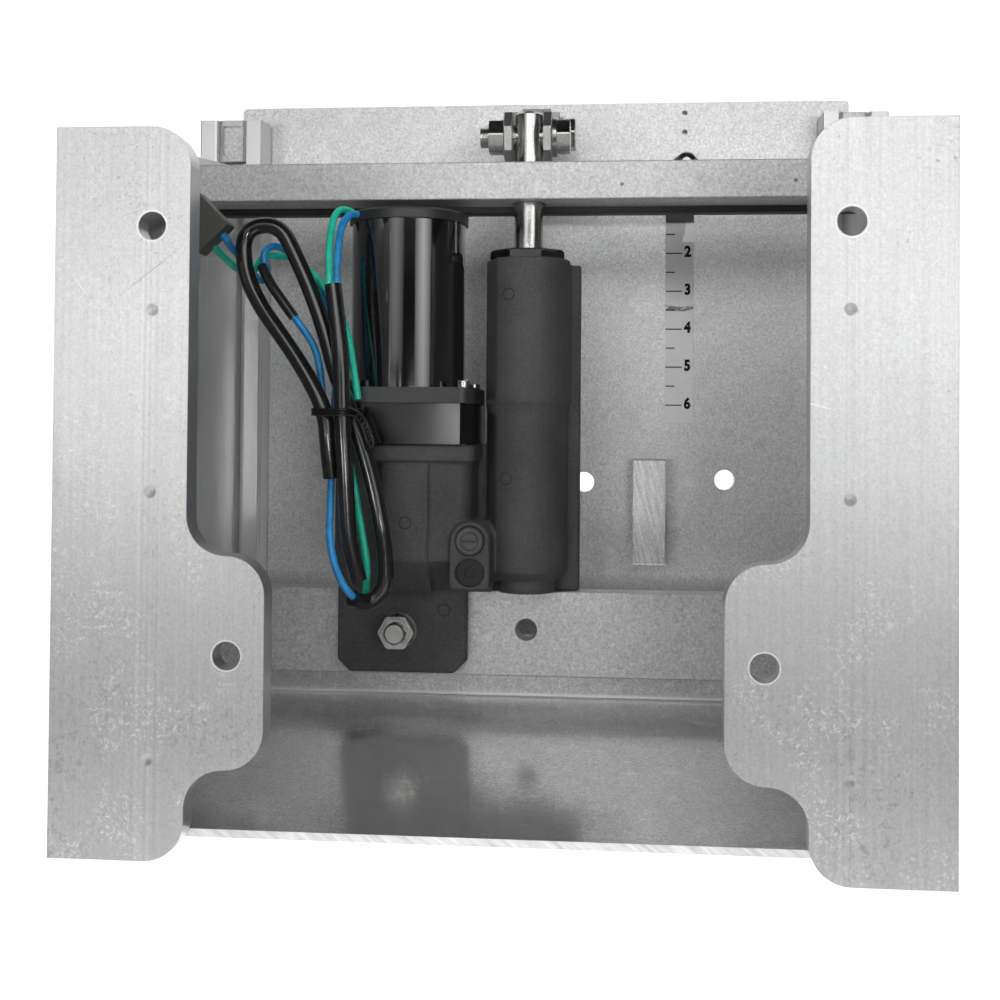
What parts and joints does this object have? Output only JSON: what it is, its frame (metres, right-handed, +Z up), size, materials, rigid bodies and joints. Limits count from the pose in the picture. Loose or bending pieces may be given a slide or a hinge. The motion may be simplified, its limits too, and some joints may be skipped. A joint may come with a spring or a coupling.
{
  "type": "hydraulic jack plate",
  "caption": "Vertical lift mount for an outboard engine: side brackets, sliding engine plate and a hydraulic cylinder with its own electric pump between cross bars.",
  "frame": {"origin": "middle of the upper row of transom holes, on the transom face, with the carriage fully down", "axes": "+X across the plate to the right seen from the transom side, +Y from the transom towards the engine, +Z up along the lift"},
  "size_m": [0.4534, 0.3048, 0.4266],
  "materials": {
    "brushed_alu": "vertical brushed lines",
    "mill_alu": "speckled mill finish",
    "bright_alu": "bright machined",
    "polished_alu": "smooth, mirror-like sheet",
    "stainless": "turned stainless",
    "stainless_plate": "satin stainless plate",
    "chrome_rod": "hard chrome",
    "steel": "ground",
    "black_casting": "matte black coated casting",
    "black_satin": "satin black",
    "black_gloss": "gloss black",
    "black_satin_plastic": "satin",
    "black_rubber": "matte",
    "bronze": "sintered",
    "ferrite": "matte",
    "lamination": "stacked sheets",
    "grey_plastic": "olive grey moulded",
    "grey_cast": "grey, fine cast",
    "white_plastic": "slick plastic",
    "scale_film": "satin film with black scale marks",
    "cable_sleeve": "glossy black sleeve",
    "wire_green": "smooth insulation",
    "wire_blue": "smooth insulation"
  },
  "bodies": {
    "mount_frame": {"transom_bracket_left": "brushed_alu", "transom_bracket_right": "brushed_alu", "upper_crossbar": "mill_alu", "lower_crossbar": "mill_alu", "crossbar_bumper": "black_rubber", "bottom_plate": "polished_alu", "crossbar_screws": "stainless", "plate_screws": "stainless", "actuator_housing": "black_casting", "cylinder_gland": "black_gloss", "rod_wiper": "black_rubber", "adapter_flange": "black_satin", "pump_block": "black_gloss", "housing_screws": "stainless", "motor_can": "black_gloss", "motor_cap": "black_satin", "motor_bearings": "bronze", "motor_magnets": "ferrite", "fill_plug": "black_rubber", "foot_bolt": "stainless", "flange_nut": "stainless", "connector": "grey_plastic", "cable_tie": "black_satin_plastic", "sleeve_loop": "cable_sleeve", "sleeve_centre": "cable_sleeve", "sleeve_thin": "cable_sleeve", "motor_lead_green": "wire_green", "motor_lead_blue": "wire_blue", "wire_green_long": "wire_green", "wire_blue_long": "wire_blue", "wire_blue_inner": "wire_blue", "wire_blue_bottom": "wire_blue", "wire_green_bottom": "wire_green"},
    "carriage": {"engine_plate": "mill_alu", "slide_rail_left": "bright_alu", "slide_rail_right": "bright_alu", "rail_stops": "bright_alu", "slide_liner_left": "white_plastic", "slide_liner_right": "white_plastic", "rail_screws": "stainless", "lift_rod": "chrome_rod", "piston": "steel", "piston_seal": "black_rubber", "link_plates": "stainless_plate", "link_bolts": "stainless", "link_nuts": "stainless", "link_washers": "stainless", "link_spacers": "stainless", "lift_block": "bright_alu", "block_screws": "stainless", "plate_block": "bright_alu", "plate_block_screws": "stainless", "height_scale": "scale_film", "scale_clip": "black_satin_plastic", "clip_screw": "stainless"},
    "armature": {"armature_core": "lamination", "motor_shaft": "steel", "drive_gear": "steel"},
    "idler": {"idler_gear": "steel"},
    "valve": {"release_valve": "grey_cast"}
  },
  "joints": [
    {"name": "lift", "type": "slide", "parent": "mount_frame", "child": "carriage", "axis": [0, 0, 1], "range_m": [0, 0.14]},
    {"name": "motor_spin", "type": "hinge", "parent": "mount_frame", "child": "armature", "pos_m": [-0.069, 0.175, -0.02], "axis": [0, 0, 1], "continuous": true},
    {"name": "idler_spin", "type": "hinge", "parent": "mount_frame", "child": "idler", "pos_m": [-0.069, 0.1933, -0.09], "axis": [0, 0, 1], "continuous": true},
    {"name": "release_turn", "type": "hinge", "parent": "mount_frame", "child": "valve", "pos_m": [-0.028, 0.1475, -0.1589], "axis": [0, -1, 0], "range_deg": [0, 360]}
  ],
  "couplings": [
    {"joint": "idler_spin", "follows": "motor_spin", "ratio": -1}
  ]
}
